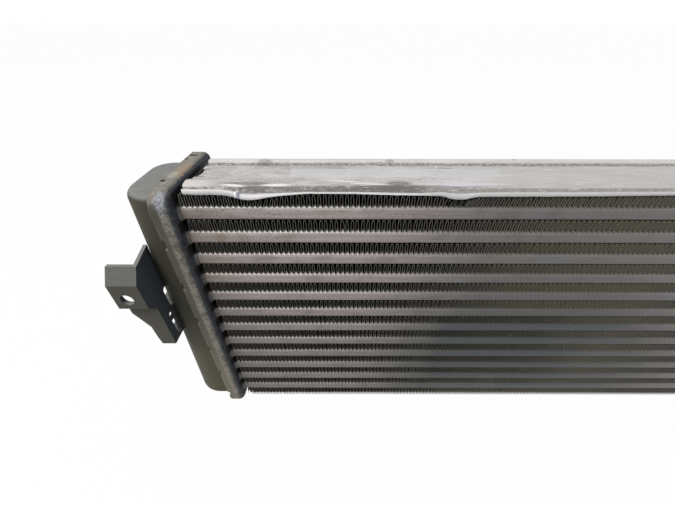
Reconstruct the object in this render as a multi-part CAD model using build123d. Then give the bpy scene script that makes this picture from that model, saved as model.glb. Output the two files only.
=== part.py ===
"""Air-to-air charge cooler: a brazed aluminium tube-and-fin core between two crimped plastic end tanks.

Frame: +X runs along the tubes, +Y from the front face to the back, +Z up. The origin is under the
middle of the core, on the plane that the two headers' lower ends stand on.
Millimetres throughout.
"""

from build123d import *
import os

# --- driving dimensions of the core ---------------------------------------------------------
TUBE_COUNT = 12
TUBE_HEIGHT = 7.2
FIN_HEIGHT = 6.8
CORE_DEPTH = 42.0
CORE_LENGTH = 400.0  # between the two headers' floors, the sides towards the tanks
TUBE_WALL = 0.5
TUBE_NOSE_RADIUS = 2.0
TUBE_ENTRY = 1.8  # how far a tube's end runs past the header's floor, into the tank
FIN_DEPTH = 41.4
FIN_END_GAP = 3.5  # from the header's floor to the first fold
FIN_FOLDS = 37  # folds drawn in each strip; the real pitch is four times finer
FIN_SHEET = 0.3
TURBULATOR_SHEET = 0.25
TURBULATOR_FOLDS = 6
TURBULATOR_WIDTH = 36.0
BRAZE_GAP = 0.05

# --- side plates ----------------------------------------------------------------------------
PLATE_HEIGHT = 1.8
# the torn end's outline, front to back: distance from the header, distance from the front edge
PLATE_END = [
    (7.2, 0.0), (6.6, 2.7), (4.9, 6.0), (4.3, 8.2), (4.4, 13.0), (6.7, 13.6), (7.0, 15.8),
    (8.9, 16.9), (9.4, 20.4), (8.3, 25.8), (7.6, 32.7), (5.9, 38.2), (6.2, CORE_DEPTH),
]
# the stamped sheet's section, front edge first: distance from the front edge, height over the fins,
# and its share in the front lip's dents. The front edge is hemmed, so it is two sheets thick.
PLATE_LOWER = [
    (0.0, 0.0, 1.0), (1.8, 0.0, 1.0), (5.0, 0.0, 0.45), (6.0, 1.0, 0.25),
    (14.0, 1.0, 0.0), (30.0, 1.0, 0.0), (31.4, 0.0, 0.0), (CORE_DEPTH, 0.0, 0.0),
]
PLATE_UPPER = [
    (CORE_DEPTH, 1.7, 0.0), (38.4, 1.7, 0.0), (37.6, 0.8, 0.0), (32.0, 0.8, 0.0),
    (30.6, PLATE_HEIGHT, 0.0), (14.0, PLATE_HEIGHT, 0.0), (5.4, PLATE_HEIGHT, 0.25),
    (4.4, 0.8, 0.45), (1.8, 0.8, 1.0), (1.3, 1.7, 1.0), (0.0, 1.7, 1.0),
]
# the bent front lip of the upper plate: distance from the left header, drop of the lip
LIP_DENTS = [
    (20.0, 0.0), (24.0, 0.2), (28.0, 0.7), (32.0, 2.2), (37.0, 3.0), (42.0, 2.7), (48.0, 1.6),
    (56.0, 0.5), (64.0, 0.0), (85.0, 0.0), (98.0, 0.6), (118.0, 0.6), (125.0, 0.9), (131.0, 2.1),
    (137.0, 3.0), (142.0, 2.3),
    (147.0, 1.7), (175.0, 1.7), (200.0, 1.2), (240.0, 0.3), (280.0, 0.0),
]

# --- headers, gaskets and tanks, measured outwards from the header's floor -------------------
HEADER_FRONT = -28.0  # its front and back in Y; it reaches further past the core at the back
HEADER_BACK = 33.5
HEADER_OVER_STACK = 2.5  # how far a header reaches past the outer fin strips
HEADER_SHEET = 1.6
HEADER_REACH = 8.0  # the rim's height, from the header's floor to the crimp's outside
HEADER_FRONT_CORNER = 8.5
HEADER_BACK_CORNER = 5.0
SMALLEST_CORNER = 1.0
HEADER_EDGE_RADIUS = 3.0
CRIMP_SHEET = 1.5
CRIMP_LIP = 3.6
CRIMP_EDGE_RADIUS = 1.2
CRIMP_PITCH = 28.0
CRIMP_NOTCH = 6.0
CRIMP_NOTCH_DROP = 1.9  # a notch's depth into the rim
FIRST_NOTCH_BELOW_TOP = 26.8
# slots in the header's two ends, beside the rounded corners: Y, width, start and end of each outwards
CORNER_SLOTS = [
    (-11.3, 2.4, 4.6, HEADER_REACH + 1),
    (23.6, 2.0, 2.2, 6.4),
    (17.9, 2.0, 5.4, HEADER_REACH + 1),
]
COLLAR_SHEET = 0.35  # drawn collar round each tube, flared into the core's side of the header
COLLAR_HEIGHT = 1.8
COLLAR_FLARE = 1.6
GASKET_THICKNESS = 2.0
GASKET_WIDTH = 4.6
FOOT_CLEARANCE = 0.3
TANK_WALL = 2.4
TANK_INSET = 4.0  # from the header's ends to the tank's
TANK_FRONT = -22.0  # the tank's front and back walls in Y
TANK_BACK = 26.0
TANK_REACH_TOP = 27.5
TANK_REACH_BOTTOM = 36.0
TANK_FRONT_RADIUS = 18.0
TANK_BACK_RADIUS = 12.0
TANK_END_RADIUS = 4.0

# --- hose neck ------------------------------------------------------------------------------
NECK_HEIGHT = 36.6  # of its axis over the base
NECK_OUTWARD = 24.0
NECK_RADIUS = 22.0
NECK_BORE_RADIUS = 19.0
NECK_ROOT = 9.0  # straight part that clears the header's rim
NECK_TRANSITION = 30.0
NECK_LENGTH = 33.0
NECK_ROOT_OUTWARD = 20.0
NECK_ROOT_HALF_WIDTH = 10.8
NECK_ROOT_HALF_HEIGHT = 25.0
HOSE_BEAD_RADIUS = 1.6
HOSE_BEAD_FROM_END = 6.0

# --- bracket on the front of each tank ------------------------------------------------------
BRACKET_OUTWARD = 24.0  # inner side of its web
BRACKET_WEB = 2.0
FLANGE_SHEET = 2.6
FLANGE_WIDTH = 16.0
FLANGE_FACE = -31.5  # its front in Y, below the step up to the bolt's boss
BOSS_FACE = -37.0
BOLT_HEIGHT = 124.0
# the flange's free edge, from its lower end: distance outwards from the web's inner side, height
FLANGE_EDGE = [(8.4, 80.3), (9.1, 86.2), (9.6, 96.0), (FLANGE_WIDTH, 108.0), (FLANGE_WIDTH, 150.0)]
# shelves between flange and tank: height of the top, thickness, reach outwards from the web's inner side
SHELVES = [(103.0, 2.0, 8.2), (95.0, 1.3, 3.3), (82.3, 2.0, 7.2)]
# windows in the web: centre in Y and Z, width, height
BRACKET_WINDOWS = [(-18.6, 110.0, 5.2, 14.0), (-23.5, 91.6, 4.4, 18.6)]
BRACKET_TOP = 142.0
BRACKET_BOTTOM = 80.3
BOLT_RADIUS = 3.5

# --- values that follow ---------------------------------------------------------------------
PITCH = TUBE_HEIGHT + FIN_HEIGHT
HALF_LENGTH = CORE_LENGTH / 2
HALF_DEPTH = CORE_DEPTH / 2
PLATE_END_MIN = min(gap for gap, _ in PLATE_END) - 0.5
STACK_BOTTOM = HEADER_OVER_STACK
STACK_TOP = STACK_BOTTOM + TUBE_COUNT * PITCH + FIN_HEIGHT
STACK_MIDDLE = (STACK_BOTTOM + STACK_TOP) / 2
HEADER_DEPTH = HEADER_BACK - HEADER_FRONT
HEADER_MIDDLE = (HEADER_BACK + HEADER_FRONT) / 2
HEADER_HEIGHT = STACK_TOP - STACK_BOTTOM + 2 * HEADER_OVER_STACK
HEADER_TOP = STACK_TOP + HEADER_OVER_STACK
FOOT_FACE = GASKET_THICKNESS
CRIMP_FACE = HEADER_REACH - CRIMP_SHEET
FOOT_TRIM = HEADER_SHEET + FOOT_CLEARANCE
TANK_TOP = HEADER_TOP - TANK_INSET
TANK_BOTTOM = STACK_MIDDLE * 2 - TANK_TOP


def tube_middle(number):
    """Height of a tube's centre; tube 1 is the uppermost."""
    return STACK_TOP - FIN_HEIGHT - TUBE_HEIGHT / 2 - (number - 1) * PITCH


def strip_bottom(number):
    """Height of the lower side of a fin strip; strip 1 is the uppermost."""
    return STACK_TOP - FIN_HEIGHT - (number - 1) * PITCH


def prism(sketch, plane, low, high):
    """The solid between two offsets of a plane, with the sketch as its outline."""
    return extrude(plane.offset(low) * sketch, high - low)


def rounded_slab(trim, low, high):
    """The right header's outline, trimmed all round, as a slab between two outward distances."""
    outline = Rectangle(HEADER_DEPTH - 2 * trim, HEADER_HEIGHT - 2 * trim)
    for side, radius in ((0, HEADER_FRONT_CORNER), (-1, HEADER_BACK_CORNER)):
        corners = outline.vertices().group_by(Axis.X)[side]
        outline = fillet(corners, max(radius - trim, SMALLEST_CORNER))
    outline = Pos(HEADER_MIDDLE, STACK_MIDDLE) * outline
    return prism(outline, Plane.YZ, HALF_LENGTH + low, HALF_LENGTH + high)


def zigzag(folds, length, height, sheet):
    """The outline of a folded sheet's edge, centred on its length, from 0 to height."""
    half_fold = length / (2 * folds)
    upright = sheet * (half_fold**2 + height**2) ** 0.5 / half_fold
    ends = range(2 * folds + 1)
    crests = [(i * half_fold - length / 2, (i % 2) * (height - upright)) for i in ends]
    upper = [(x, z + upright) for x, z in reversed(crests)]
    return make_face(Polyline(*crests, *upper, close=True))


def tube_section(grow=0.0):
    """The flat tube's rounded outline in Y and Z, grown outwards by a distance."""
    return RectangleRounded(CORE_DEPTH + 2 * grow, TUBE_HEIGHT + 2 * grow, TUBE_NOSE_RADIUS + grow)


def make_tube(number):
    """A flat tube, open at both ends, that carries the charge air from tank to tank."""
    ring = tube_section() - tube_section(-TUBE_WALL)
    reach = HALF_LENGTH + TUBE_ENTRY
    return prism(Pos(0, tube_middle(number)) * ring, Plane.YZ, -reach, reach)


def make_turbulator(number):
    """The folded sheet inside a tube, which stirs the charge air."""
    inner_height = TUBE_HEIGHT - 2 * TUBE_WALL
    outline = zigzag(TURBULATOR_FOLDS, TURBULATOR_WIDTH, inner_height, TURBULATOR_SHEET)
    lift = tube_middle(number) - inner_height / 2
    return prism(Pos(0, lift) * outline, Plane.YZ, -HALF_LENGTH, HALF_LENGTH)


def make_fin_strip(number):
    """A folded strip of fins between two tubes, or between a tube and a side plate."""
    outline = zigzag(FIN_FOLDS, CORE_LENGTH - 2 * FIN_END_GAP, FIN_HEIGHT, FIN_SHEET)
    # Plane.XZ looks towards -Y, so the outline is drawn on its back
    plane = Plane(origin=(0, 0, 0), x_dir=(1, 0, 0), z_dir=(0, -1, 0))
    return prism(Pos(0, strip_bottom(number)) * outline, plane, -FIN_DEPTH / 2, FIN_DEPTH / 2)


def bent(section, drop):
    """The section's points with the front lip bent down by a drop."""
    return [(y, z - share * drop) for y, z, share in section]


def section_wire(station, points):
    """Points of a plate's section as a closed wire at a distance from the left header."""
    x = station - HALF_LENGTH
    return Wire.make_polygon([Vector(x, y - HALF_DEPTH, STACK_TOP + z) for y, z in points])


def plate_loft(stations):
    """A side plate lying on the uppermost fin strip, lofted through its sections."""
    wires = [section_wire(station, bent(PLATE_LOWER + PLATE_UPPER, drop)) for station, drop in stations]
    return Solid.make_loft(wires, ruled=True)


def crushed_space():
    """The space that the bent lip takes from the fins below it."""
    above = [(14.0, PLATE_HEIGHT), (-1.0, PLATE_HEIGHT)]
    wires = []
    for station, drop in LIP_DENTS:
        wires.append(section_wire(station, [(-1.0, -drop)] + bent(PLATE_LOWER[:5], drop) + above))
    return Solid.make_loft(wires, ruled=True)


def plate_end_cuts():
    """What is trimmed from a plate's two ends, so that its torn outline is left."""
    edge = [(HALF_LENGTH - gap, y - HALF_DEPTH) for gap, y in PLATE_END]
    front, back = -HALF_DEPTH - 2, HALF_DEPTH + 2
    outline = [(HALF_LENGTH, front), (edge[0][0], front), *edge, (edge[-1][0], back), (HALF_LENGTH, back)]
    right = prism(make_face(Polyline(*outline, close=True)), Plane.XY, STACK_TOP - 6, STACK_TOP + 6)
    return [right, mirror(right, about=Plane.YZ)]


def make_side_plate_top():
    """The stamped plate over the uppermost strip, with its front lip bent down in places."""
    end = HALF_LENGTH - PLATE_END_MIN
    return plate_loft([(HALF_LENGTH - end, 0.0), *LIP_DENTS, (HALF_LENGTH + end, 0.0)]) - plate_end_cuts()


def make_side_plate_bottom():
    """The same stamping turned over, under the lowest strip, and not bent."""
    end = HALF_LENGTH - PLATE_END_MIN
    plate = plate_loft([(HALF_LENGTH - end, 0.0), (HALF_LENGTH + end, 0.0)]) - plate_end_cuts()
    return mirror(plate, about=Plane.XY.offset(STACK_MIDDLE))


def crimp_notches():
    """The gaps between the crimped tabs on the header's two long sides."""
    notch_face = HEADER_REACH - CRIMP_NOTCH_DROP
    out = HALF_LENGTH + (notch_face + HEADER_REACH + 1) / 2
    notch = Box(HEADER_REACH + 1 - notch_face, 2 * CRIMP_LIP + 1, CRIMP_NOTCH)
    notches = []
    height = HEADER_TOP - FIRST_NOTCH_BELOW_TOP
    while height > HEADER_TOP - HEADER_HEIGHT + HEADER_FRONT_CORNER:
        for y in (HEADER_FRONT, HEADER_BACK):
            notches.append(Pos(out, y, height) * notch)
        height -= CRIMP_PITCH
    return notches


def corner_slots():
    """The slots beside the rounded corners, where the crimp at each end of the header starts."""
    slots = []
    for end in (HEADER_TOP, HEADER_TOP - HEADER_HEIGHT):
        for y, width, start, stop in CORNER_SLOTS:
            slot = Box(stop - start, width, 2 * CRIMP_LIP + 1)
            slots.append(Pos(HALF_LENGTH + (start + stop) / 2, y, end) * slot)
    return slots


def edges_at(solid, outward):
    """The right header's edges that lie in one plane, at a distance outwards."""
    x = HALF_LENGTH + outward
    return solid.edges().filter_by_position(Axis.X, x - 0.01, x + 0.01)


def make_header():
    """The right header: a drawn tray with a slot for each tube and a rim crimped over the tank's foot."""
    core_side = -HEADER_SHEET
    tray = rounded_slab(0, core_side, HEADER_REACH)
    tray = fillet(edges_at(tray, core_side), HEADER_EDGE_RADIUS)
    tray = fillet(edges_at(tray, HEADER_REACH), CRIMP_EDGE_RADIUS)
    tray -= rounded_slab(HEADER_SHEET, 0, CRIMP_FACE)
    tray -= rounded_slab(CRIMP_LIP, CRIMP_FACE - 1, HEADER_REACH + 1)
    collars, slots = [], []
    tip = HALF_LENGTH + core_side - COLLAR_HEIGHT
    for n in range(1, TUBE_COUNT + 1):
        collar = Pos(0, tube_middle(n)) * tube_section(COLLAR_SHEET)
        slot = Pos(0, tube_middle(n)) * tube_section(BRAZE_GAP)
        collars.append(prism(collar, Plane.YZ, tip, HALF_LENGTH - HEADER_SHEET / 2))
        slots.append(prism(slot, Plane.YZ, tip - 1, HALF_LENGTH + 1))
    tray += collars
    roots = [e for e in edges_at(tray, core_side) if abs(e.center().Y) < HALF_DEPTH + COLLAR_SHEET + 0.1]
    tray = fillet(roots, COLLAR_FLARE)
    return tray - slots - crimp_notches() - corner_slots()


def make_gasket():
    """The right gasket: a flat rubber ring between the header's floor and the tank's foot."""
    ring = rounded_slab(FOOT_TRIM, 0, GASKET_THICKNESS)
    return ring - rounded_slab(FOOT_TRIM + GASKET_WIDTH, -1, GASKET_THICKNESS + 1)


def tank_body(inset, low):
    """The tank's tapered outside, or its inside when inset by the wall, from an outward distance on."""
    bottom = TANK_BOTTOM + inset
    top = TANK_TOP - inset
    side = Polyline(
        (HALF_LENGTH + low, bottom),
        (HALF_LENGTH + TANK_REACH_BOTTOM - inset, bottom),
        (HALF_LENGTH + TANK_REACH_TOP - inset, top),
        (HALF_LENGTH + low, top),
        close=True,
    )
    plane = Plane(origin=(0, 0, 0), x_dir=(1, 0, 0), z_dir=(0, -1, 0))
    body = prism(make_face(side), plane, inset - TANK_BACK, -TANK_FRONT - inset)
    for end, radius in ((0, TANK_FRONT_RADIUS), (-1, TANK_BACK_RADIUS)):
        outer_face = body.faces().sort_by(Axis.X)[-1]
        upright = [e for e in outer_face.edges() if abs(e.tangent_at(0.5).Z) > 0.5]
        body = fillet(ShapeList(upright).sort_by(Axis.Y)[end], radius - inset)
    rims = []
    for end in (body.faces().sort_by(Axis.Z)[0], body.faces().sort_by(Axis.Z)[-1]):
        rims += [e for e in end.edges() if e.center().X > HALF_LENGTH + low + 0.01]
    body = fillet(rims, TANK_END_RADIUS - inset)
    return body


def make_neck():
    """The hose neck's outside and its bore: an oval root on the tank, drawn out to a round end."""
    back = TANK_BACK
    round_start = back + NECK_TRANSITION
    wall = NECK_RADIUS - NECK_BORE_RADIUS

    def across(outward, y):
        return Plane(origin=(HALF_LENGTH + outward, y, NECK_HEIGHT), x_dir=(1, 0, 0), z_dir=(0, 1, 0))

    def passage(start, trim, end):
        """The root, the transition and the hose end as one solid, trimmed by a wall's thickness."""
        oval = Ellipse(NECK_ROOT_HALF_WIDTH - trim, NECK_ROOT_HALF_HEIGHT - trim)
        circle = Circle(NECK_RADIUS - trim)
        root = extrude(across(NECK_ROOT_OUTWARD, start) * oval, back + NECK_ROOT - start)
        round_end = across(NECK_OUTWARD, round_start) * circle
        drawn = loft([across(NECK_ROOT_OUTWARD, back + NECK_ROOT) * oval, round_end])
        return root + drawn + extrude(round_end, end)

    bead_at = Pos(HALF_LENGTH + NECK_OUTWARD, round_start + NECK_LENGTH - HOSE_BEAD_FROM_END, NECK_HEIGHT)
    bead = bead_at * Rot(90, 0, 0) * Torus(NECK_RADIUS - 0.2, HOSE_BEAD_RADIUS)
    start = back - TANK_BACK_RADIUS
    return passage(start, 0.0, NECK_LENGTH) + bead, passage(start, wall, NECK_LENGTH + 1)


def bracket_edge():
    """The web's outline in Y and Z: its front edge steps out to the bolt's boss."""
    return [
        (-17.0, BRACKET_TOP + 4), (-31.0, BRACKET_TOP), (BOSS_FACE, BRACKET_TOP - 8), (BOSS_FACE, 117.5),
        (FLANGE_FACE, 112.0), (FLANGE_FACE, BRACKET_BOTTOM), (-17.0, BRACKET_BOTTOM),
    ]


def make_bracket():
    """The moulded bracket in front of the tank: a web with windows, a flange and shelves behind it."""
    inner = HALF_LENGTH + BRACKET_OUTWARD
    edge = bracket_edge()
    bracket = prism(make_face(Polyline(*edge, close=True)), Plane.YZ, inner, inner + BRACKET_WEB)
    for y, z, width, height in BRACKET_WINDOWS:
        window = Pos(y, z) * RectangleRounded(width, height, width / 2 - 0.6)
        bracket -= prism(window, Plane.YZ, inner - 1, inner + BRACKET_WEB + 1)
    front = edge[1:-1]
    band = make_face(Polyline(*front, *[(y + FLANGE_SHEET, z) for y, z in reversed(front)], close=True))
    flange = prism(band, Plane.YZ, inner, inner + FLANGE_WIDTH)
    free = [(inner + out, z) for out, z in FLANGE_EDGE]
    outline = [(inner, free[0][1]), *free, (inner, free[-1][1])]
    flange &= prism(make_face(Polyline(*outline, close=True)), Plane.XZ, -BOSS_FACE - 8, -BOSS_FACE + 1)
    for top, sheet, reach in SHELVES:
        shelf = Box(reach - 1, 25, sheet, align=(Align.MIN, Align.MIN, Align.MAX))
        bracket += Pos(inner + 1, FLANGE_FACE + 0.5, top) * shelf
    bolt_at = Pos(inner + FLANGE_WIDTH / 2 + 1, BOSS_FACE, BOLT_HEIGHT)
    return bracket + flange - bolt_at * Rot(90, 0, 0) * Cylinder(BOLT_RADIUS, 20)


def make_tank():
    """The right tank: one moulding with its foot, tapered body, hose neck and bracket."""
    foot = rounded_slab(FOOT_TRIM, FOOT_FACE, CRIMP_FACE)
    neck, bore = make_neck()
    outside = foot + tank_body(0.0, FOOT_FACE) + neck + make_bracket()
    return outside - tank_body(TANK_WALL, FOOT_FACE - 1) - bore


def write(shape, name):
    """Writes one node's STEP file."""
    export_step(shape, os.path.join("parts", name + ".step"))


os.makedirs("parts", exist_ok=True)
for number in range(1, TUBE_COUNT + 1):
    write(make_tube(number), f"tube_{number:02d}")
    write(make_turbulator(number), f"turbulator_{number:02d}")
crushed = crushed_space()
for number in range(1, TUBE_COUNT + 2):
    strip = make_fin_strip(number)
    if number == 1:
        strip -= crushed
    write(strip, f"fin_strip_{number:02d}")
write(make_side_plate_top(), "side_plate_top")
write(make_side_plate_bottom(), "side_plate_bottom")
for name, right in (("header", make_header()), ("gasket", make_gasket()), ("tank", make_tank())):
    write(right, name + "_right")
    write(mirror(right, about=Plane.YZ), name + "_left")
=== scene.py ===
import math
import random

import bmesh
import bpy
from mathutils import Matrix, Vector, noise


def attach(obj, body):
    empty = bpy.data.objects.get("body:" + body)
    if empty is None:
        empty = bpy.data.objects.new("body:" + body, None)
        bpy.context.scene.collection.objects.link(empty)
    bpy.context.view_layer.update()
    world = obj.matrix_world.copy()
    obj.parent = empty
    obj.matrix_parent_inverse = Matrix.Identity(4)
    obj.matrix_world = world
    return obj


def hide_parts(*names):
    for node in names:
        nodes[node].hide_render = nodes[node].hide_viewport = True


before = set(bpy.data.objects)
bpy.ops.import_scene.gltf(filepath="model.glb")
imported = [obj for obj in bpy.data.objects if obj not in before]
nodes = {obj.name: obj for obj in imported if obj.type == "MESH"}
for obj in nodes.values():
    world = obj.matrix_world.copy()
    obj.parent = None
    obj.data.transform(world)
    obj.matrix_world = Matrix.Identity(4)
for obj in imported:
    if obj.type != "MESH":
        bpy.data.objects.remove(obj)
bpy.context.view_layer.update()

# Camera: it looks down on the upper left corner of the core from close by, with a wide lens. Its
# lens and shifts are in pixels of a frame 675 pixels wide.
MM = 0.001
FRAME_WIDTH = 675
NEAREST_SEEN = 5 * MM
SENSOR_WIDTH = 36
LENS_IN_PIXELS = 315
SHIFT_RIGHT = -10.5
SHIFT_UP = 8.55
CAMERA_PLACE = (-116.15, -155.25, 243.52)
CAMERA_TURNS = (51.78, -0.1, 0.04)

camera_data = bpy.data.cameras.new("camera")
camera_data.sensor_width = SENSOR_WIDTH
camera_data.lens = SENSOR_WIDTH * LENS_IN_PIXELS / FRAME_WIDTH
camera_data.shift_x = SHIFT_RIGHT / FRAME_WIDTH
camera_data.shift_y = SHIFT_UP / FRAME_WIDTH
camera_data.clip_start = NEAREST_SEEN
camera = bpy.data.objects.new("camera", camera_data)
camera.location = Vector(CAMERA_PLACE) * MM
camera.rotation_euler = [math.radians(turn) for turn in CAMERA_TURNS]
bpy.context.scene.collection.objects.link(camera)
bpy.context.scene.camera = camera
bpy.context.scene.view_settings.view_transform = "Standard"

# Studio: a pale floor under the cooler, a soft sky and a broad lamp high on the left. What the
# camera and the metal see of the floor and the sky is white.
FLOOR_GREY = (0.5, 0.5, 0.5)
FLOOR_HALF_WIDTH = 12.0
WHITE = (1, 1, 1, 1)
SKY_BLUE = (0.88, 0.94, 1.0, 1)
SKY_STRENGTH = 0.42
LAMP_PLACE = Vector((-0.7, -0.8, 1.5))
LAMP_AIM = Vector((-0.05, 0, 0.1))
LAMP_SIZE = 0.9
LAMP_WATTS = 22
LAMP_COLOUR = (1.0, 0.965, 0.93)


class Socket:
    """An output of a node, which can be added, subtracted and multiplied."""

    def __init__(self, shading, out):
        self.shading = shading
        self.out = out

    def maths(self, operation, first, second):
        return self.shading.node("ShaderNodeMath", {"operation": operation}, {0: first, 1: second})

    def __add__(self, other):
        return self.maths("ADD", self, other)

    def __radd__(self, other):
        return self.maths("ADD", other, self)

    def __sub__(self, other):
        return self.maths("SUBTRACT", self, other)

    def __rsub__(self, other):
        return self.maths("SUBTRACT", other, self)

    def __mul__(self, other):
        return self.maths("MULTIPLY", self, other)

    def __rmul__(self, other):
        return self.maths("MULTIPLY", other, self)

    def __abs__(self):
        return self.maths("ABSOLUTE", self, 0.0)


class Shading:
    """A tree of shader nodes. Every node that is added comes from its node method."""

    def __init__(self, tree):
        self.tree = tree

    def feed(self, entry, value):
        """Links a socket to a node's entry, or sets the entry to a plain value."""
        if isinstance(value, Socket):
            self.tree.links.new(value.out, entry)
        else:
            entry.default_value = value

    def node(self, kind, settings, values, output=0):
        made = self.tree.nodes.new(kind)
        for key, value in settings.items():
            setattr(made, key, value)
        for key, value in values.items():
            self.feed(made.inputs[key], value)
        return Socket(self, made.outputs[output])

    def split(self, vector):
        """The three numbers of a vector."""
        return [self.node("ShaderNodeSeparateXYZ", {}, {0: vector}, axis) for axis in range(3)]

    def seen_directly(self):
        """1 for the rays that show the background: from the camera, from gloss and through glass."""
        total = self.node("ShaderNodeLightPath", {}, {}, "Is Camera Ray")
        for kind in ("Is Glossy Ray", "Is Transmission Ray"):
            ray = self.node("ShaderNodeLightPath", {}, {}, kind)
            total = self.node("ShaderNodeMath", {"use_clamp": True}, {0: total, 1: ray})
        return total


class Finish(Shading):
    """One material: its shader and the colour laid on so far, in object coordinates in millimetres."""

    def __init__(self, name, metallic=0.0, specular=0.5):
        self.material = bpy.data.materials.new(name)
        self.material.use_nodes = True
        super().__init__(self.material.node_tree)
        self.shader = self.tree.nodes["Principled BSDF"]
        self.shader.inputs["Metallic"].default_value = metallic
        self.shader.inputs["Specular IOR Level"].default_value = specular
        place = self.node("ShaderNodeTexCoord", {}, {}, "Object")
        values = {"Vector": place, "Scale": 1 / MM}
        self.place = self.node("ShaderNodeVectorMath", {"operation": "SCALE"}, values)
        self.x, self.y, self.z = self.split(self.place)
        normal = self.node("ShaderNodeNewGeometry", {}, {}, "Normal")
        self.facing_x, self.facing_y, self.facing_z = self.split(normal)
        self.colour = None

    def stretched(self, x, y, z):
        """The place in millimetres, multiplied along each axis, so that a pattern runs along the piece."""
        values = {0: self.place, 1: (x, y, z)}
        return self.node("ShaderNodeVectorMath", {"operation": "MULTIPLY"}, values)

    def mottle(self, size, detail=3.0, roughness=0.55, place=None):
        """Soft noise from 0 to 1 whose blotches are about size millimetres across."""
        values = {"Vector": place or self.place, "Scale": 1 / size, "Detail": detail, "Roughness": roughness}
        return self.node("ShaderNodeTexNoise", {}, values)

    def streaks(self, detail, x, y, z):
        """Soft noise whose blotches are 1 / x, 1 / y and 1 / z millimetres long."""
        return self.mottle(1.0, detail, place=self.stretched(x, y, z))

    def rise(self, value, low, high):
        """0 below low, 1 above high, smooth between."""
        values = {0: value, 1: low, 2: high, 3: 0.0, 4: 1.0}
        return self.node("ShaderNodeMapRange", {"interpolation_type": "SMOOTHSTEP"}, values)

    def fall(self, value, low, high):
        """1 below low, 0 above high, smooth between."""
        return 1 - self.rise(value, low, high)

    def band(self, value, low, high, soft):
        """1 between low and high, falling to 0 over a soft distance on both sides."""
        return self.rise(value, low - soft, low) * self.fall(value, high, high + soft)

    def spot(self, first, second, centre, size, soft=0.5):
        """A soft-edged oval across two coordinates, in millimetres."""
        across = (first - centre[0]) * (1 / size[0])
        along = (second - centre[1]) * (1 / size[1])
        return self.fall(across * across + along * along, 1 - soft, 1 + soft)

    def blend(self, share, first, second):
        """The first colour where share is 0 and the second where it is 1."""
        values = {0: share, 6: opaque(first), 7: opaque(second)}
        return self.node("ShaderNodeMix", {"data_type": "RGBA"}, values, 2)

    def lay(self, share, colour):
        """Lays a colour over what the finish has so far."""
        self.colour = self.blend(share, self.colour, colour)

    def done(self, roughness, relief=None, depth=0.1):
        """Feeds the shader, with a relief that stands out by depth millimetres, and gives the material."""
        self.feed(self.shader.inputs["Base Color"], opaque(self.colour))
        self.feed(self.shader.inputs["Roughness"], roughness)
        if relief is not None:
            values = {"Height": relief, "Strength": 1.0, "Distance": depth * MM}
            self.feed(self.shader.inputs["Normal"], self.node("ShaderNodeBump", {}, values))
        return self.material


def opaque(colour):
    """A colour as a shader takes it: a socket as it is, three numbers with a fourth."""
    return colour if isinstance(colour, Socket) else (*colour, 1)


def dress(piece, material):
    """Gives a piece its one material."""
    piece.data.materials.clear()
    piece.data.materials.append(material)


def link_mesh(bm, name, material):
    """Turns a bmesh into an object of the scene."""
    mesh = bpy.data.meshes.new(name)
    bm.to_mesh(mesh)
    bm.free()
    made = bpy.data.objects.new(name, mesh)
    bpy.context.scene.collection.objects.link(made)
    dress(made, material)
    return made


floor_paint = Finish("studio_floor")
floor_paint.colour = FLOOR_GREY
floor_material = floor_paint.done(0.9)
white = floor_paint.node("ShaderNodeEmission", {}, {"Color": WHITE, "Strength": 1.04})
share_seen = floor_paint.seen_directly() * 0.92
floor_shader = Socket(floor_paint, floor_paint.shader.outputs[0])
either = floor_paint.node("ShaderNodeMixShader", {}, {0: share_seen, 1: floor_shader, 2: white})
floor_paint.feed(floor_paint.tree.nodes["Material Output"].inputs["Surface"], either)
floor_bm = bmesh.new()
bmesh.ops.create_grid(floor_bm, x_segments=1, y_segments=1, size=FLOOR_HALF_WIDTH)
link_mesh(floor_bm, "floor", floor_material)

world = bpy.data.worlds.new("studio")
world.use_nodes = True
bpy.context.scene.world = world
surround = Shading(world.node_tree)
sky_node = world.node_tree.nodes["Background"]
sky_node.inputs["Color"].default_value = SKY_BLUE
sky_node.inputs["Strength"].default_value = SKY_STRENGTH
sky = Socket(surround, sky_node.outputs[0])
backdrop = surround.node("ShaderNodeBackground", {}, {"Color": WHITE})
either = surround.node("ShaderNodeMixShader", {}, {0: surround.seen_directly(), 1: sky, 2: backdrop})
surround.feed(world.node_tree.nodes["World Output"].inputs["Surface"], either)

lamp_data = bpy.data.lights.new("key", "AREA")
lamp_data.size = LAMP_SIZE
lamp_data.energy = LAMP_WATTS
lamp_data.color = LAMP_COLOUR
lamp = bpy.data.objects.new("key", lamp_data)
lamp.location = LAMP_PLACE
lamp.rotation_euler = (LAMP_AIM - LAMP_PLACE).to_track_quat("-Z", "Y").to_euler()
bpy.context.scene.collection.objects.link(lamp)

# Tubes: drawn flat aluminium tubes with rounded edges, bare and weathered, brazed to the fins and
# the headers. The faint lines come from the die; the middle and the low tubes have painted shade.
TUBES = range(1, 13)
TUBE_SHEEN = (0.40, 0.345, 0.332)
TUBE_SHADE = (0.27, 0.234, 0.224)
FINE_LINE = (0.56, 0.51, 0.49)
DULL_BLOTCH = (0.19, 0.16, 0.145)
BLUISH_HIGHLIGHT = (0.34, 0.36, 0.42)
BROWN_MUD = (0.17, 0.145, 0.105)
DARK_SPECK = (0.075, 0.068, 0.06)
RUSTY_STAIN = (0.20, 0.155, 0.10)
BRAZE_HIGHLIGHT = (0.92, 0.89, 0.87)
FALLOFF_SHADE = (0.085, 0.087, 0.080)
CAST_SHADOW_ON_TUBES = (0.040, 0.048, 0.056)
TUBE_END_SHADE = (0.022, 0.022, 0.022)
RECESS_SHADE = (0.02, 0.02, 0.02)

tube_paint = Finish("weathered_tube", metallic=0.1)
x, y, z = tube_paint.x, tube_paint.y, tube_paint.z
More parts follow.
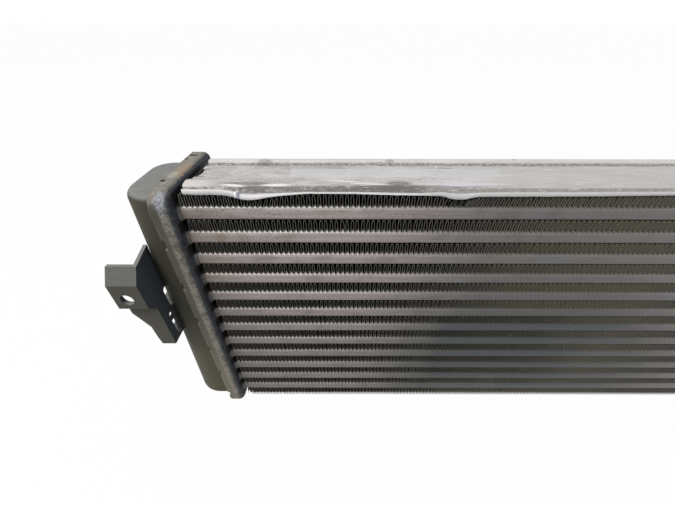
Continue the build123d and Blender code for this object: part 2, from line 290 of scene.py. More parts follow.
# the drawn surface, with an etched grain, dull patches and bluish patches of painted highlight
die_lines = tube_paint.streaks(2.0, 0.02, 1.0, 1.3)
fine_lines = tube_paint.rise(tube_paint.streaks(1.0, 0.01, 2.0, 2.2), 0.62, 0.70)
blotch = tube_paint.mottle(8.0, 4.0, 0.6, place=tube_paint.stretched(0.6, 1, 1))
etched = tube_paint.mottle(1.6, 4.0, 0.7)
drawn = tube_paint.rise(die_lines * 0.6 + etched * 0.4, 0.36, 0.62)
tube_paint.colour = tube_paint.blend(drawn, TUBE_SHADE, TUBE_SHEEN)
tube_paint.lay(fine_lines * 0.35, FINE_LINE)
tube_paint.lay(tube_paint.rise(blotch, 0.48, 0.70) * 0.55, DULL_BLOTCH)
haze = tube_paint.mottle(9.0, 3.0, place=tube_paint.stretched(0.5, 1, 1))
tube_paint.lay(tube_paint.rise(haze, 0.58, 0.72) * tube_paint.rise(x, -90, -50) * 0.45, BLUISH_HIGHLIGHT)
# mud, specks and a stain towards the left header
tube_paint.lay(tube_paint.fall(x + blotch * 20, -176, -160) * 0.4, BROWN_MUD)
specks = tube_paint.rise(tube_paint.mottle(1.1, 2.0), 0.58, 0.68)
speckled = tube_paint.fall(x, -168, -135) * tube_paint.rise(z, 150, 158) * 0.55 + 0.4
tube_paint.lay(specks * speckled, DARK_SPECK)
tube_paint.lay(tube_paint.spot(x, z, (-181.0, 153.0), (3.0, 2.6), 0.8) * 0.6, RUSTY_STAIN)
# painted highlight on the up-facing tops, in a bright braze colour, brightest on the left
up_facing_highlight = tube_paint.rise(tube_paint.facing_z, 0.62, 0.92)
tube_paint.lay(up_facing_highlight * (0.35 + 0.6 * tube_paint.fall(x, -150, -80)), BRAZE_HIGHLIGHT)
# painted shade over the middle and low down, and a painted cast shadow on the lower right of the front
front = tube_paint.fall(y, -8, 8)
middle = tube_paint.rise(x + blotch * 24, -113, -18) * tube_paint.fall(x + blotch * 60, 60, 190)
tube_paint.lay(middle * (0.4 + 0.33 * front) + tube_paint.fall(z, 45, 150) * 0.54, FALLOFF_SHADE)
ragged = tube_paint.mottle(30.0, 3.0)
painted_tube_shadow = tube_paint.rise(x + blotch * 16, -58, -44) * tube_paint.fall(z, 84, 98) * front
painted_tube_shadow = painted_tube_shadow * tube_paint.fall(x + ragged * 60, 50, 120) * tube_paint.rise(z + ragged * 50, 30, 60)
tube_paint.lay(painted_tube_shadow * 0.72, CAST_SHADOW_ON_TUBES)
# painted shade where the tubes meet the headers, and between the fins
tube_paint.lay(tube_paint.rise(abs(x) + blotch, 197.8, 199.2) * 0.92, TUBE_END_SHADE)
tube_paint.lay(tube_paint.fall(abs(y), 16.6, 19.4) * 0.93, RECESS_SHADE)
tube_relief = die_lines + etched * 0.5 + fine_lines * 0.3
tube_material = tube_paint.done(0.5 + 0.15 * blotch, tube_relief, 0.12)
for number in TUBES:
    dress(nodes[f"tube_{number:02d}"], tube_material)

# Turbulators: folded aluminium sheets brazed inside the tubes, which stir the air that runs through
# them. They are plain and clean, as no road dirt reaches them.
turbulator_paint = Finish("inner_sheet", metallic=0.6)
turbulator_paint.colour = turbulator_paint.blend(
    turbulator_paint.mottle(4.0), (0.35, 0.35, 0.35), (0.5, 0.5, 0.49)
)
turbulator_material = turbulator_paint.done(0.45)
for number in TUBES:
    dress(nodes[f"turbulator_{number:02d}"], turbulator_material)

# Side plates: thin aluminium sheet, stamped with a broad rib, hemmed at the front and brazed to the
# outer fins. The upper one's lip has been knocked down in two places, and both have torn ends.
HALF_LENGTH = 200.0
HALF_DEPTH = 21.0
STACK_TOP = 177.3
OVERALL_HEIGHT = 179.8
PLATE_SHEET = 0.55
PLATE_COLUMNS = 620
CREASE = 32.0  # where the hem is folded over itself, from the left header
CREASE_WIDTH = 0.8
LAP = 33.6  # where the folded part ends
LAP_WIDTH = 0.9
UNEVENNESS = 0.10
SOUND_GAP = 9.4  # the other ends have no cracks deeper than this

# the torn end's outline, front to back: distance from the front edge, distance from the header
PLATE_END = [
    (0.0, 6.9), (2.7, 6.4), (6.0, 4.9), (8.2, 4.3), (12.8, 4.0), (13.4, 6.4), (15.9, 6.8), (16.6, 11.2),
    (17.2, 8.4), (20.4, 9.2), (23.0, 9.3), (25.1, 8.6), (25.8, 11.3), (26.4, 7.7), (32.7, 7.2), (37.0, 6.0),
    (42.0, 6.1),
]
# places along the front lip, from the left header: how far it is knocked down there
LIP_DENTS = [
    (-10.0, 0.1), (6.0, 0.1), (12.4, 0.5), (20.8, 0.3), (26.0, 0.6), (29.2, 1.3), (31.5, 2.1), (33.7, 2.9),
    (36.0, 3.4), (39.4, 3.4), (42.2, 3.0), (46.0, 2.2), (51.7, 1.3), (57.4, 0.7), (61.5, 0.3), (66.0, 0.0),
    (88.0, 0.1), (98.0, 0.5), (110.0, 0.8), (118.0, 0.9), (125.0, 1.0), (128.5, 1.2), (130.2, 1.8),
    (132.2, 2.6), (135.0, 2.9), (138.5, 2.9), (140.5, 2.4), (142.5, 1.8), (145.0, 1.4), (175.0, 1.2),
    (200.0, 1.0), (240.0, 0.3), (280.0, 0.0), (420.0, 0.0),
]
# places along the hem, from the left header: how much taller it is rolled there than elsewhere
HEM_RISES = [
    (-10.0, 0.7), (30.5, 0.7), (33.0, 0.2), (42.0, 0.0), (50.0, -0.5), (64.0, -0.7), (118.0, -0.7),
    (128.0, 0.0), (134.0, 0.3), (140.0, 0.1), (420.0, 0.0),
]
# distances from the front edge: the crease's share there
HEM_FADE = [(0.0, 1.0), (1.5, 1.0), (2.6, 0.6), (4.2, 0.2), (6.0, 0.0), (42.0, 0.0)]
# the sheet's section from under the front hem, over it and back: distance from the front edge, height,
# its share of the dents downwards and forwards, and its share of the hem's own height
PLATE_SECTION = [
    (2.8, 0.15, 0.50, 0.06, 0.0), (0.6, 0.05, 0.70, 0.30, -0.3), (0.1, 0.25, 0.74, 0.36, -0.2),
    (0.0, 0.8, 0.72, 0.32, 0.4), (0.0, 1.4, 0.68, 0.26, 1.0), (0.45, 1.8, 0.62, 0.20, 1.0),
    (1.1, 1.65, 0.55, 0.14, 1.0), (1.7, 1.1, 0.46, 0.08, 0.8), (2.4, 0.85, 0.38, 0.0, 0.4),
    (3.2, 0.8, 0.34, 0.0, 0.1), (4.2, 0.9, 0.30, 0.0, 0.0), (4.8, 1.5, 0.26, 0.0, 0.0),
    (5.6, 1.8, 0.22, 0.0, 0.0), (7.0, 1.8, 0.17, 0.0, 0.0), (9.0, 1.8, 0.10, 0.0, 0.0),
    (11.5, 1.8, 0.04, 0.0, 0.0), (12.8, 1.8, 0.0, 0.0, 0.0), (13.4, 1.8, 0.0, 0.0, 0.0),
    (15.9, 1.8, 0.0, 0.0, 0.0), (16.6, 1.8, 0.0, 0.0, 0.0), (17.2, 1.8, 0.0, 0.0, 0.0),
    (20.4, 1.8, 0.0, 0.0, 0.0), (23.0, 1.8, 0.0, 0.0, 0.0), (25.1, 1.8, 0.0, 0.0, 0.0),
    (25.8, 1.8, 0.0, 0.0, 0.0), (26.4, 1.8, 0.0, 0.0, 0.0), (30.4, 1.8, 0.0, 0.0, 0.0),
    (31.4, 1.4, 0.0, 0.0, 0.0), (32.2, 0.85, 0.0, 0.0, 0.0), (34.8, 0.8, 0.0, 0.0, 0.0),
    (37.4, 0.85, 0.0, 0.0, 0.0), (38.2, 1.5, 0.0, 0.0, 0.0), (39.0, 1.8, 0.0, 0.0, 0.0),
    (41.4, 1.75, 0.0, 0.0, 0.0), (42.0, 1.4, 0.0, 0.0, 0.0), (42.0, 0.1, 0.0, 0.0, 0.0),
]

PLATE_SHADE = (0.38, 0.358, 0.345)
PLATE_SHEEN = (0.64, 0.613, 0.602)
WARM_SHEEN = (0.52, 0.505, 0.465)
CORNER_HIGHLIGHT = (0.80, 0.76, 0.70)
RIB_SHADE = (0.60, 0.58, 0.56)
RIB_SHEEN = (0.76, 0.74, 0.72)
HEM_SHADE = (0.58, 0.57, 0.57)
HEM_SHEEN = (0.76, 0.75, 0.76)
HEM_DULL = (0.42, 0.41, 0.41)
RIDGE_SHEEN = (0.95, 0.95, 0.96)
SOOT_AND_SHADE = (0.12, 0.112, 0.105)
GROOVE_DIRT_AND_SHADE = (0.13, 0.112, 0.09)
LINE_DIRT = (0.16, 0.145, 0.13)
MARK_DIRT = (0.16, 0.15, 0.14)
PIT_DIRT = (0.20, 0.18, 0.16)
CLOD_BROWN = (0.30, 0.24, 0.17)
HIGHLIGHT_WHITE = (0.93, 0.93, 0.93)
SCUFFED_METAL = (0.80, 0.78, 0.77)
GLINT = (0.97, 0.97, 0.97)
LABEL_PAPER = (0.64, 0.63, 0.65)
# smudges of soot, and painted shade over the dents: centre, size, depth
SOOT_AND_SHADE_SMUDGES = [
    ((-164, -12.2), (12, 1.7), 0.8), ((-158, -15.6), (13, 1.3), 0.9), ((-92, -12.2), (6, 2.4), 0.85),
    ((-96, -16.0), (15, 1.9), 0.95), ((-162.4, 15.5), (4, 4.0), 0.6), ((-93, 17.5), (2.5, 2.2), 0.5),
    ((-75, -15.2), (22, 1.2), 0.6), ((-190.5, 3.0), (1.6, 0.7), 0.7), ((-189, -1.0), (3.0, 0.5), 0.5),
    ((-189.6, -4.6), (1.4, 0.6), 0.9), ((-189.6, 4.8), (1.6, 0.5), 0.9),
]
# painted highlights: centre, size
PAINTED_HIGHLIGHTS = [
    ((-171, -14.4), (5, 1.2)), ((-150.5, -14.0), (6.5, 1.3)), ((-120, -9.6), (7, 0.35)),
    ((-113, -10.8), (8, 0.4)), ((-106, -12.9), (9, 0.6)), ((-66, -20.3), (9, 0.8)),
]
# painted shade beside the crease, and a painted sheen on the broad rib: centre, size, tint
PAINTED_SHADES_AND_SHEEN = [
    ((-60, -12.6), (22, 1.8), (0.66, 0.67, 0.73)), ((-167.0, -20.2), (0.6, 2.2), (0.26, 0.29, 0.40)),
    ((-169.6, -19.6), (0.45, 1.8), (0.36, 0.34, 0.31)),
]
PRESSED_MARKS = [-179.0, -121.2, -64.4]
MARK_REACH = 3.6

plate_paint = Finish("weathered_plate", metallic=0.12)
x, y = plate_paint.x, plate_paint.y
from_front = y + HALF_DEPTH
# rolled sheet, warmer on the right, with painted highlight at the left front corner and along the back rib
rolled = plate_paint.streaks(3.0, 0.10, 0.7, 0.7)
cloud = plate_paint.mottle(12.0, 4.0, 0.6, place=plate_paint.stretched(0.5, 1, 1))
grain = plate_paint.mottle(1.2, 3.0, 0.7)
tone = plate_paint.rise(rolled * 0.2 + cloud * 0.4 + grain * 0.4, 0.38, 0.62)
plate_paint.colour = plate_paint.blend(tone, PLATE_SHADE, PLATE_SHEEN)
plate_paint.lay(plate_paint.rise(x, -70, -30) * 0.6, WARM_SHEEN)
corner_highlight = plate_paint.fall(x + cloud * 20, -182, -168) * plate_paint.fall(from_front, 11, 13)
plate_paint.lay(corner_highlight * 0.55, CORNER_HIGHLIGHT)
back_rib_highlight = plate_paint.rise(from_front, 37.5, 38.5)
plate_paint.lay(back_rib_highlight * 0.75, plate_paint.blend(cloud, RIB_SHADE, RIB_SHEEN))
# dirt in both grooves, with painted shade too in the back one, and up the slope of the broad rib
patchy = plate_paint.rise(plate_paint.mottle(4.0, 5.0, 0.75), 0.36, 0.60)
specks = plate_paint.rise(plate_paint.mottle(2.0, 4.0, 0.8), 0.42, 0.56)
back_groove_dirt_and_shade = plate_paint.band(from_front, 33.6, 36.6, 0.9)
plate_paint.lay(back_groove_dirt_and_shade * (0.2 + 0.8 * specks) * 0.95, GROOVE_DIRT_AND_SHADE)
clean_end = plate_paint.fall(x, -170, -167)
right_part = plate_paint.rise(x, -86, -76)
front_groove = plate_paint.band(from_front, 2.1, 4.5, 0.6) * (1 - clean_end)
plate_paint.lay(front_groove * (0.6 + 0.4 * specks) * (0.95 - 0.3 * right_part), SOOT_AND_SHADE)
slope = plate_paint.band(from_front, 4.6, 5.6, 0.5) * (1 - clean_end) * (1 - right_part)
plate_paint.lay(slope * (0.3 + 0.6 * patchy), SOOT_AND_SHADE)
groove_line = plate_paint.band(from_front, 2.6, 5.0, 0.3) * clean_end
plate_paint.lay(groove_line * (0.4 + 0.55 * specks), LINE_DIRT)
# soot smudges and painted shade over the dents, painted highlights, scuffed and pitted places
for centre, size, depth in SOOT_AND_SHADE_SMUDGES:
    smudge = plate_paint.spot(x, y, centre, size, 0.8) * (0.45 + 0.8 * plate_paint.mottle(2.5, 3.0))
    plate_paint.lay(smudge * depth, SOOT_AND_SHADE)
for centre, size in PAINTED_HIGHLIGHTS:
    slanting = y + (x - centre[0]) * 0.06
    plate_paint.lay(plate_paint.spot(x, slanting, centre, size, 0.8) * 0.8, HIGHLIGHT_WHITE)
plate_paint.lay(plate_paint.rise(plate_paint.streaks(3.0, 0.12, 0.7, 0.7), 0.60, 0.70) * 0.35, SCUFFED_METAL)
plate_paint.lay(plate_paint.rise(plate_paint.mottle(1.4, 3.0, 0.7), 0.66, 0.72) * 0.5, PIT_DIRT)
# the hem, with painted shade beside its crease and a painted highlight on its ridge
hem = plate_paint.fall(from_front, 1.3, 2.0)
plate_paint.lay(hem * 0.75, plate_paint.blend(cloud, HEM_SHADE, HEM_SHEEN))
plate_paint.lay(hem * right_part * 0.4, HEM_DULL)
for centre, size, tint in PAINTED_SHADES_AND_SHEEN:
    plate_paint.lay(plate_paint.spot(x, y, centre, size, 0.7) * 0.7, tint)
plate_paint.lay(plate_paint.spot(x, y, (-168.4, -20.4), (0.65, 3.0), 0.6) * 0.85, RIDGE_SHEEN)
# short pressed marks, a painted glint and a clod of mud
for place in PRESSED_MARKS:
    mark = plate_paint.band(x, place - MARK_REACH, place + MARK_REACH, 0.5)
    mark = mark * plate_paint.band(y, 6.5, 6.8, 0.5)
    plate_paint.lay(mark * (0.45 + 0.4 * specks), MARK_DIRT)
plate_paint.lay(plate_paint.spot(x, y, (-68.8, 8.9), (0.7, 0.8), 0.6) * 0.9, GLINT)
plate_paint.lay(plate_paint.spot(x, y, (-23.2, 19.8), (1.2, 1.4), 0.6) * 0.8, CLOD_BROWN)
# a blank paper label, worn thin along its edges
worn_edge = plate_paint.mottle(2.0, 3.0) * 1.2
label = plate_paint.band(x + worn_edge, -145, -37, 0.3)
label = label * plate_paint.band(y + worn_edge * 0.4, -4.6, 6.2, 0.2)
label = label * plate_paint.rise(plate_paint.facing_z, 0.5, 0.9)
plate_paint.lay(label * 0.6, LABEL_PAPER)
plate_relief = rolled * 0.5 + grain * 0.6 + label * 0.8
plate_material = plate_paint.done(0.45 + 0.2 * cloud + 0.1 * label, plate_relief, 0.12)


def between(points, station):
    """A value read off a list of places and values, straight between them."""
    for (a, low), (b, high) in zip(points, points[1:]):
        if a <= station <= b:
            return low + (high - low) * (station - a) / (b - a)
    return points[-1][1]


def eased_drop(station):
    """How far the lip is knocked down, eased between the measured places."""
    return sum(between(LIP_DENTS, min(415.0, station + step)) for step in (-0.8, 0.0, 0.8)) / 3


def knocked(x, y, z, down, forward, hem):
    """A point of the sheet after the knocks: the lip bent down, the hem creased, the sheet uneven."""
    station = x + HALF_LENGTH
    drop = eased_drop(station)
    fold = between(HEM_FADE, y) * math.exp(-(((station - CREASE) / CREASE_WIDTH) ** 2))
    lap = between(HEM_FADE, y) * math.exp(-(((station - LAP) / LAP_WIDTH) ** 2))
    ripple = UNEVENNESS * noise.noise(Vector((x * 0.05, y * 0.05, 0))) if 1.0 < z and y < 40 else 0
    knocks = UNEVENNESS * noise.noise(Vector((x * 0.25, y * 0.3, 7))) if y < 2 else 0
    z += hem * between(HEM_RISES, station) - down * drop + 0.7 * fold - 0.4 * lap + ripple + knocks
    y -= forward * drop + 1.0 * fold - 0.3 * lap
    return x, y, z


def finish_sheet(bm, name, material, thickness, offset, replaced):
    """Turns a folded grid, drawn in millimetres, into a sheet that takes a node's place on the cooler."""
    bmesh.ops.scale(bm, vec=(MM, MM, MM), verts=bm.verts)
    for face in bm.faces:
        face.smooth = True
    piece = link_mesh(bm, name, material)
    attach(piece, "root")
    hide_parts(replaced)
    wall = piece.modifiers.new("sheet", "SOLIDIFY")
    wall.thickness = thickness * MM
    wall.offset = offset


def pressed_sheet(name, replaced, upper):
    """The stamped plate: a flat grid laid along the section. The lower one is plain and upside down."""
    rows = len(PLATE_SECTION) - 1
    bm = bmesh.new()
    bmesh.ops.create_grid(bm, x_segments=PLATE_COLUMNS, y_segments=rows, size=0.5)
    for vert in bm.verts:
        column = round((vert.co.x + 0.5) * PLATE_COLUMNS)
        y, z, down, forward, hem = PLATE_SECTION[round((vert.co.y + 0.5) * rows)]
        right_gap = min(SOUND_GAP, between(PLATE_END, y))
        left_gap = between(PLATE_END, y) if upper else right_gap
        x = left_gap - HALF_LENGTH + (2 * HALF_LENGTH - left_gap - right_gap) * column / PLATE_COLUMNS
        if upper:
            x, y, z = knocked(x, y, z, down, forward, hem)
        vert.co = (x, y - HALF_DEPTH, z + STACK_TOP)
    if not upper:
        bmesh.ops.scale(bm, vec=(1, 1, -1), verts=bm.verts)
        bmesh.ops.translate(bm, vec=(0, 0, OVERALL_HEIGHT), verts=bm.verts)
        bmesh.ops.reverse_faces(bm, faces=bm.faces)
    finish_sheet(bm, name, plate_material, PLATE_SHEET, -1, replaced)


pressed_sheet("side_pressed_top", "side_plate_top", upper=True)
pressed_sheet("side_pressed_bottom", "side_plate_bottom", upper=False)

# Fin strips: thin aluminium sheet folded into tall narrow loops and brazed between the tubes. The
# folds have been knocked about at their front edges, and dust has filled those on the right.
STRIPS = range(1, 14)
PITCH = 14.0
FIN_HEIGHT = 6.8
FOLD = 2.62
FOLDS = 150
FIN_SHEET = 0.15
# one fold's shape: shares of the fold's length and of its height
FOLD_SHAPE = [
    (0.0, 0.0), (0.1, 0.02), (0.17, 0.08), (0.22, 0.22), (0.245, 0.5), (0.27, 0.78),
    (0.32, 0.92), (0.4, 0.985), (0.5, 1.0), (0.6, 0.985), (0.68, 0.92), (0.73, 0.78),
    (0.755, 0.5), (0.78, 0.22), (0.83, 0.08), (0.9, 0.02),
]
STRIP_STATIONS = [-20.7, -20.1, -18.6, -14.0, 20.7]
KNOCKED_FROM = -14.0  # the folds are out of true from here to their front edge
KNOCK_DEPTH = 6.7
CRUSHED_FROM = -7.0  # under the dented lip they are crushed from here forwards
CRUSH_DEPTH = 12.0
CREST_SPREAD = 0.09
FRONT_SPREAD = 0.11
# folds that have been struck: strip, place along it, half length, how far they are pushed over
STRUCK = [
    (6, -119.0, 4.0, 1.1), (6, -122.0, 2.5, -0.8), (7, -127.5, 4.5, 1.0), (7, -67.0, 13.0, 1.2),
    (7, -10.0, 4.0, 1.4), (8, -9.0, 4.0, 1.5), (2, -118.5, 1.6, 0.8), (4, -66.0, 2.5, 0.7),
    (6, -60.0, 14.0, 0.6), (2, -193.0, 7.0, 0.5),
]
# places along the top strip, from the left header: how far the crushed folds' tops are pushed sideways
LEANS = [
    (-10, 0.0), (24, 0.0), (30, -0.5), (35, 0.4), (40, 1.3), (46, 1.2), (54, 0.5), (62, 0.0), (122, 0.0),
    (129, 0.6), (134, 2.0), (139, 2.7), (145, 1.7), (152, 0.9), (170, 0.4), (210, 0.1), (230, 0.0),
    (420, 0.0),
]

FIN_DARK = (0.008, 0.0085, 0.0085)
FIN_GREY = (0.020, 0.0195, 0.0185)
FIN_CRUST = (0.096, 0.086, 0.072)
DUST_SHADE = (0.090, 0.085, 0.061)
DUST_SHEEN = (0.148, 0.139, 0.103)
DEEP_SHADOW = (0.012, 0.012, 0.012)
BARE_EDGE_HIGHLIGHT = (0.24, 0.226, 0.20)
CAST_SHADOW_ON_FINS = (0.04, 0.043, 0.038)
FLATTENED_METAL = (0.16, 0.145, 0.12)
VOID_SHADE = (0.006, 0.006, 0.006)
GRIT = (0.36, 0.32, 0.20)
VOIDS = [(-68.7, 172.5), (-63.6, 172.7), (-61.2, 172.2)]

fin_paint = Finish("dusty_fin", specular=0.3)
x, y, z = fin_paint.x, fin_paint.y, fin_paint.z
# dark folds, painted near-black as shade, crusted on the left and filled with dust on the right, in shadow
# away from their edges
smudge = fin_paint.mottle(5.0, 3.0)
crusted = fin_paint.fall(x + smudge * 14 + z * 0.8, -55, -37)
dust = fin_paint.rise(x + 22 * smudge - z * 0.12, -95, -20) * fin_paint.fall(x + smudge * 60, 60, 190)
fin_paint.colour = fin_paint.blend(smudge, FIN_DARK, FIN_GREY)
fin_paint.lay(crusted * 0.8, FIN_CRUST)
fin_paint.lay(dust, fin_paint.blend(fin_paint.mottle(1.6), DUST_SHADE, DUST_SHEEN))
fin_paint.lay(fin_paint.fall(abs(y), 14.0, 20.4) * 0.85, DEEP_SHADOW)
# painted highlight on the front edges, where they are bare and no dust covers them
bare = 0.9 - 0.68 * dust - 0.6 * crusted * fin_paint.fall(z, 158, 166)
fin_paint.lay(fin_paint.rise(abs(y), 20.45, 20.68) * bare, BARE_EDGE_HIGHLIGHT)
# a painted cast shadow, a flattened fold, painted shade at three voids, and scattered grit
ragged = fin_paint.mottle(30.0, 3.0)
painted_fin_shadow = fin_paint.rise(x + smudge * 10, -62, -50) * fin_paint.fall(z, 92, 103)
painted_fin_shadow = painted_fin_shadow * fin_paint.fall(x + ragged * 60, 25, 95) * fin_paint.rise(z + ragged * 50, 30, 60)
fin_paint.lay(painted_fin_shadow * 0.65, CAST_SHADOW_ON_FINS)
fin_paint.lay(fin_paint.spot(x, z, (-112.7, 159.6), (0.75, 3.1), 0.3) * 0.8, FLATTENED_METAL)
for centre in VOIDS:
    fin_paint.lay(fin_paint.spot(x, z, centre, (0.9, 1.3), 0.5) * 0.9, VOID_SHADE)
grit = fin_paint.rise(fin_paint.mottle(1.3, 1.0), 0.70, 0.76) * dust
fin_paint.lay(grit * 0.5, GRIT)
fin_material = fin_paint.done(0.6)


def struck(number, x, fold, part, up, depth):
    """Where a fold's point lies along its strip, after the blows that the front edge has had."""
    for strip, place, half, push in STRUCK:
        if strip == number and abs(x - place) < half:
            wild = noise.noise(Vector((fold * 1.7, part * 0.2, strip)))
            near = 1 - ((x - place) / half) ** 2
            x += depth * math.sin(math.pi * up) * push * (0.6 + 1.2 * wild) * near
    return x


def folded_strip(number):
    """One strip: a flat grid folded along its length, with each fold a little out of true."""
    rng = random.Random(number)
    low = STACK_TOP - FIN_HEIGHT - (number - 1) * PITCH + FIN_SHEET / 2
    high = FIN_HEIGHT - FIN_SHEET
    crest = [rng.gauss(0, CREST_SPREAD) for _ in range(FOLDS + 2)]
    front = [rng.gauss(0, FRONT_SPREAD) for _ in range(FOLDS + 2)]
    bm = bmesh.new()
    steps = len(FOLD_SHAPE)
    rows = len(STRIP_STATIONS) - 1
    bmesh.ops.create_grid(bm, x_segments=FOLDS * steps, y_segments=rows, size=0.5)
    for vert in bm.verts:
        step = round((vert.co.x + 0.5) * FOLDS * steps)
        y = STRIP_STATIONS[round((vert.co.y + 0.5) * rows)]
        fold, part = divmod(step, steps)
        along, up = FOLD_SHAPE[part]
        depth = min(1.0, max(0.0, (KNOCKED_FROM - y) / KNOCK_DEPTH))
        x = struck(number, (fold + along) * FOLD - FOLD * FOLDS / 2, fold, part, up, depth)
        x += up * crest[fold] + depth * up * (1 - 0.3 * up) * front[fold]
        z = up * high
        if number == 1:
            share = max(0.0, min(1.0, (CRUSHED_FROM - y) / CRUSH_DEPTH))
            station = x + HALF_LENGTH
            crushed = eased_drop(station) * share / high
            z *= 1 - crushed * 1.06
            buckle = 3.0 * crushed * noise.noise(Vector((fold * 0.8, 0, 3)))
            x += share * up * between(LEANS, station) + buckle * math.sin(math.pi * up)
        vert.co = (x, y, low + z)
    bmesh.ops.recalc_face_normals(bm, faces=bm.faces)
    name = f"folded_fins_{number:02d}"
    finish_sheet(bm, name, fin_material, FIN_SHEET, 0, f"fin_strip_{number:02d}")


for number in STRIPS:
    folded_strip(number)

# Headers: drawn aluminium trays, brazed to the tubes' ends, with a rim crimped over the tanks' feet.
# Their inner sides are grimy and painted dark as shade; their tops are painted lighter as a highlight
# and are rust-stained where water has stood.
RIM_SHADE = (0.085, 0.079, 0.056)
RIM_SHEEN = (0.25, 0.237, 0.205)
TOP_SHADE = (0.15, 0.139, 0.115)
TOP_SHEEN = (0.30, 0.28, 0.245)
RUST = (0.33, 0.235, 0.15)
PALE_CRUST = (0.46, 0.43, 0.37)
OLIVE_DIRT = (0.15, 0.13, 0.075)
BLUE_SCUFF_AND_HIGHLIGHT = (0.34, 0.375, 0.45)
RIM_DIRT = (0.065, 0.062, 0.043)
LOW_MUD = (0.26, 0.225, 0.17)
GRIME_SHADE = (0.022, 0.028, 0.040)
GRIME_SHEEN = (0.062, 0.070, 0.084)
CORE_SIDE_SHADE = (0.012, 0.012, 0.013)
COLLAR_SHADE = (0.10, 0.088, 0.075)
COLLAR_SHEEN = (0.24, 0.215, 0.20)
HOLLOW_SHADE = (0.008, 0.007, 0.006)

header_paint = Finish("oxidised_header", metallic=0.08, specular=0.35)
x, y, z = header_paint.x, header_paint.y, header_paint.z
outward = abs(x) - HALF_LENGTH
# an oxidised rim whose top is painted lighter as a highlight and is stained, scuffed and given a bluish
# painted highlight at its front corner, and muddy low down
oxide = header_paint.mottle(7.0, 5.0, 0.7)
fine = header_paint.mottle(1.3, 4.0, 0.7)
both = header_paint.rise(oxide * 0.5 + fine * 0.5, 0.39, 0.60)
header_paint.colour = header_paint.blend(both, RIM_SHADE, RIM_SHEEN)
top_highlight_and_stain_mask = header_paint.rise(header_paint.facing_z, 0.35, 0.8)
header_paint.lay(top_highlight_and_stain_mask * 0.8, header_paint.blend(both, TOP_SHADE, TOP_SHEEN))
header_paint.lay(header_paint.spot(x, y, (-201.2, 2.6), (3.4, 8.0), 0.9) * top_highlight_and_stain_mask * 0.75, RUST)
header_paint.lay(header_paint.spot(x, y, (-204.2, -3.6), (2.6, 4.0), 0.8) * top_highlight_and_stain_mask * 0.6, PALE_CRUST)
olive = header_paint.rise(outward, 5.0, 7.0) * top_highlight_and_stain_mask * header_paint.rise(oxide, 0.4, 0.6)
header_paint.lay(olive * 0.6, OLIVE_DIRT)
scuff_and_highlight = header_paint.spot(x, z, (-202.0, 174.5), (3.0, 5.0), 0.8) * header_paint.fall(y, -24, -20)
header_paint.lay(scuff_and_highlight * (0.1 + 0.8 * header_paint.rise(fine, 0.4, 0.6)), BLUE_SCUFF_AND_HIGHLIGHT)
free_edge = header_paint.rise(outward + fine * 2, 3.8, 5.4)
free_edge = free_edge * header_paint.fall(header_paint.facing_z, 0.3, 0.6)
header_paint.lay(free_edge * 0.9, RIM_DIRT)
lower = header_paint.fall(z, 20, 110) * header_paint.rise(outward, 0.5, 2.0)
header_paint.lay(lower * 0.5, LOW_MUD)
# the side towards the core is grimy and painted dark as shade, with near-black painted shade behind the
# front edge
grime_and_shade = header_paint.blend(both, GRIME_SHADE, GRIME_SHEEN)
header_paint.lay(header_paint.fall(outward + fine * 0.8, -0.6, 0.6) * 0.94, grime_and_shade)
core_side_shade = header_paint.fall(outward, -0.6, 0.0) * header_paint.rise(y, -22.6, -20.8)
header_paint.lay(core_side_shade * 0.9 * header_paint.fall(z, 176.8, 178.2), CORE_SIDE_SHADE)
# the collars round the tubes are worn bright, and the hollows between them have painted shade
pitches = (z - (STACK_TOP - FIN_HEIGHT / 2 - 20.5 * PITCH)) * (1 / PITCH)  # above 0 all over the core
off_middle = abs(pitches.maths("FRACT", pitches, 0.0) - 0.5) * PITCH
collar = header_paint.fall(outward + fine * 0.6, -1.9, -1.4) * header_paint.rise(off_middle, 3.2, 3.6)
header_paint.lay(collar * 0.85, header_paint.blend(both, COLLAR_SHADE, COLLAR_SHEEN))
hollow_shade = header_paint.fall(off_middle + fine, 3.2, 4.2) * header_paint.fall(outward, 0.2, 1.0)
hollow_shade = hollow_shade * header_paint.rise(y + fine, -24.6, -23.6)
header_paint.lay(hollow_shade * (0.92 - 0.4 * header_paint.rise(z, 168, 171)), HOLLOW_SHADE)
header_relief = oxide * 0.6 + fine * 0.7
header_material = header_paint.done(0.55 + 0.2 * oxide, header_relief, 0.4)
for side in ("left", "right"):
    dress(nodes[f"header_{side}"], header_material)

# Gaskets: black rubber rings, pressed between the headers' floors and the tanks' feet by the crimp
# that closes the joint.
gasket_paint = Finish("black_rubber")
gasket_paint.colour = gasket_paint.blend(gasket_paint.mottle(3.0), (0.02, 0.02, 0.02), (0.04, 0.04, 0.04))
gasket_material = gasket_paint.done(0.7)
for side in ("left", "right"):
    dress(nodes[f"gasket_{side}"], gasket_material)
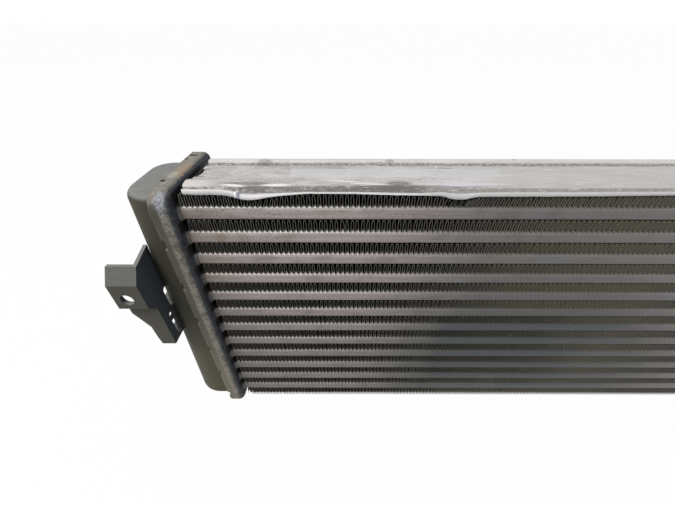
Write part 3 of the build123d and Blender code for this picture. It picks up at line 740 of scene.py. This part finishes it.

# Tanks: glass-filled grey plastic mouldings, each held in its header by the crimped rim. Their tops
# are dusty and painted lighter as a highlight, with dried mud along their feet and on their brackets.
MOULDING_SHADE = (0.046, 0.049, 0.046)
MOULDING_SHEEN = (0.076, 0.079, 0.072)
DARK_MUD = (0.055, 0.049, 0.030)
FRONT_SHADE = (0.030, 0.029, 0.022)
DRIED_MUD = (0.105, 0.092, 0.060)
BRACKET_DUST = (0.085, 0.080, 0.066)
BRACKET_SIDE_SHADE = (0.066, 0.078, 0.092)
DUSTY_LIT_TOP_SHADE = (0.19, 0.195, 0.185)
DUSTY_LIT_TOP_SHEEN = (0.32, 0.32, 0.305)
FOOT_DIRT_AND_SHADE = (0.045, 0.040, 0.028)

tank_paint = Finish("dusty_moulding", specular=0.22)
x, y, z = tank_paint.x, tank_paint.y, tank_paint.z
reach = abs(x) - HALF_LENGTH
# the bare moulding, with mud over its front, low down and on the bracket; painted shade high on its front
# and on the bracket's side facing the core
haze = tank_paint.mottle(12.0, 4.0)
pores = tank_paint.mottle(0.9, 2.0)
tank_paint.colour = tank_paint.blend(haze, MOULDING_SHADE, MOULDING_SHEEN)
front_half = tank_paint.fall(y, -14, -4)
mud = tank_paint.fall(reach + haze * 10 - 10 * front_half, 13, 25)
tank_paint.lay(mud * tank_paint.fall(tank_paint.facing_z, 0.3, 0.7) * 0.8, DARK_MUD)
tank_paint.lay(front_half * tank_paint.band(z, 100, 150, 18) * 0.6, FRONT_SHADE)
dried = tank_paint.fall(z + haze * 20, 60, 95) * tank_paint.fall(tank_paint.facing_y, -0.5, 0.0)
tank_paint.lay(dried * 0.6, DRIED_MUD)
bracket = tank_paint.rise(reach, 23.2, 23.6) * tank_paint.fall(y, -20.5, -19.0)
tank_paint.lay(bracket * 0.8, BRACKET_DUST)
inward_side_shade = tank_paint.fall(tank_paint.facing_x * x * 0.005, -0.95, -0.6)
tank_paint.lay(bracket * inward_side_shade * 0.9, BRACKET_SIDE_SHADE)
# its top is dusty and painted lighter as a highlight, and its foot dirty and painted in shade under the
# crimp
streaks = tank_paint.streaks(3.0, 0.12, 0.5, 0.5)
dusty_lit_top = tank_paint.rise(tank_paint.facing_z, 0.4, 0.9)
tank_paint.lay(dusty_lit_top * 0.85, tank_paint.blend(streaks, DUSTY_LIT_TOP_SHADE, DUSTY_LIT_TOP_SHEEN))
tank_paint.lay(tank_paint.fall(reach, 6.6, 7.2) * 0.8, FOOT_DIRT_AND_SHADE)
tank_material = tank_paint.done(0.65 + 0.15 * haze, pores + haze, 0.12)
for side in ("left", "right"):
    dress(nodes[f"tank_{side}"], tank_material)
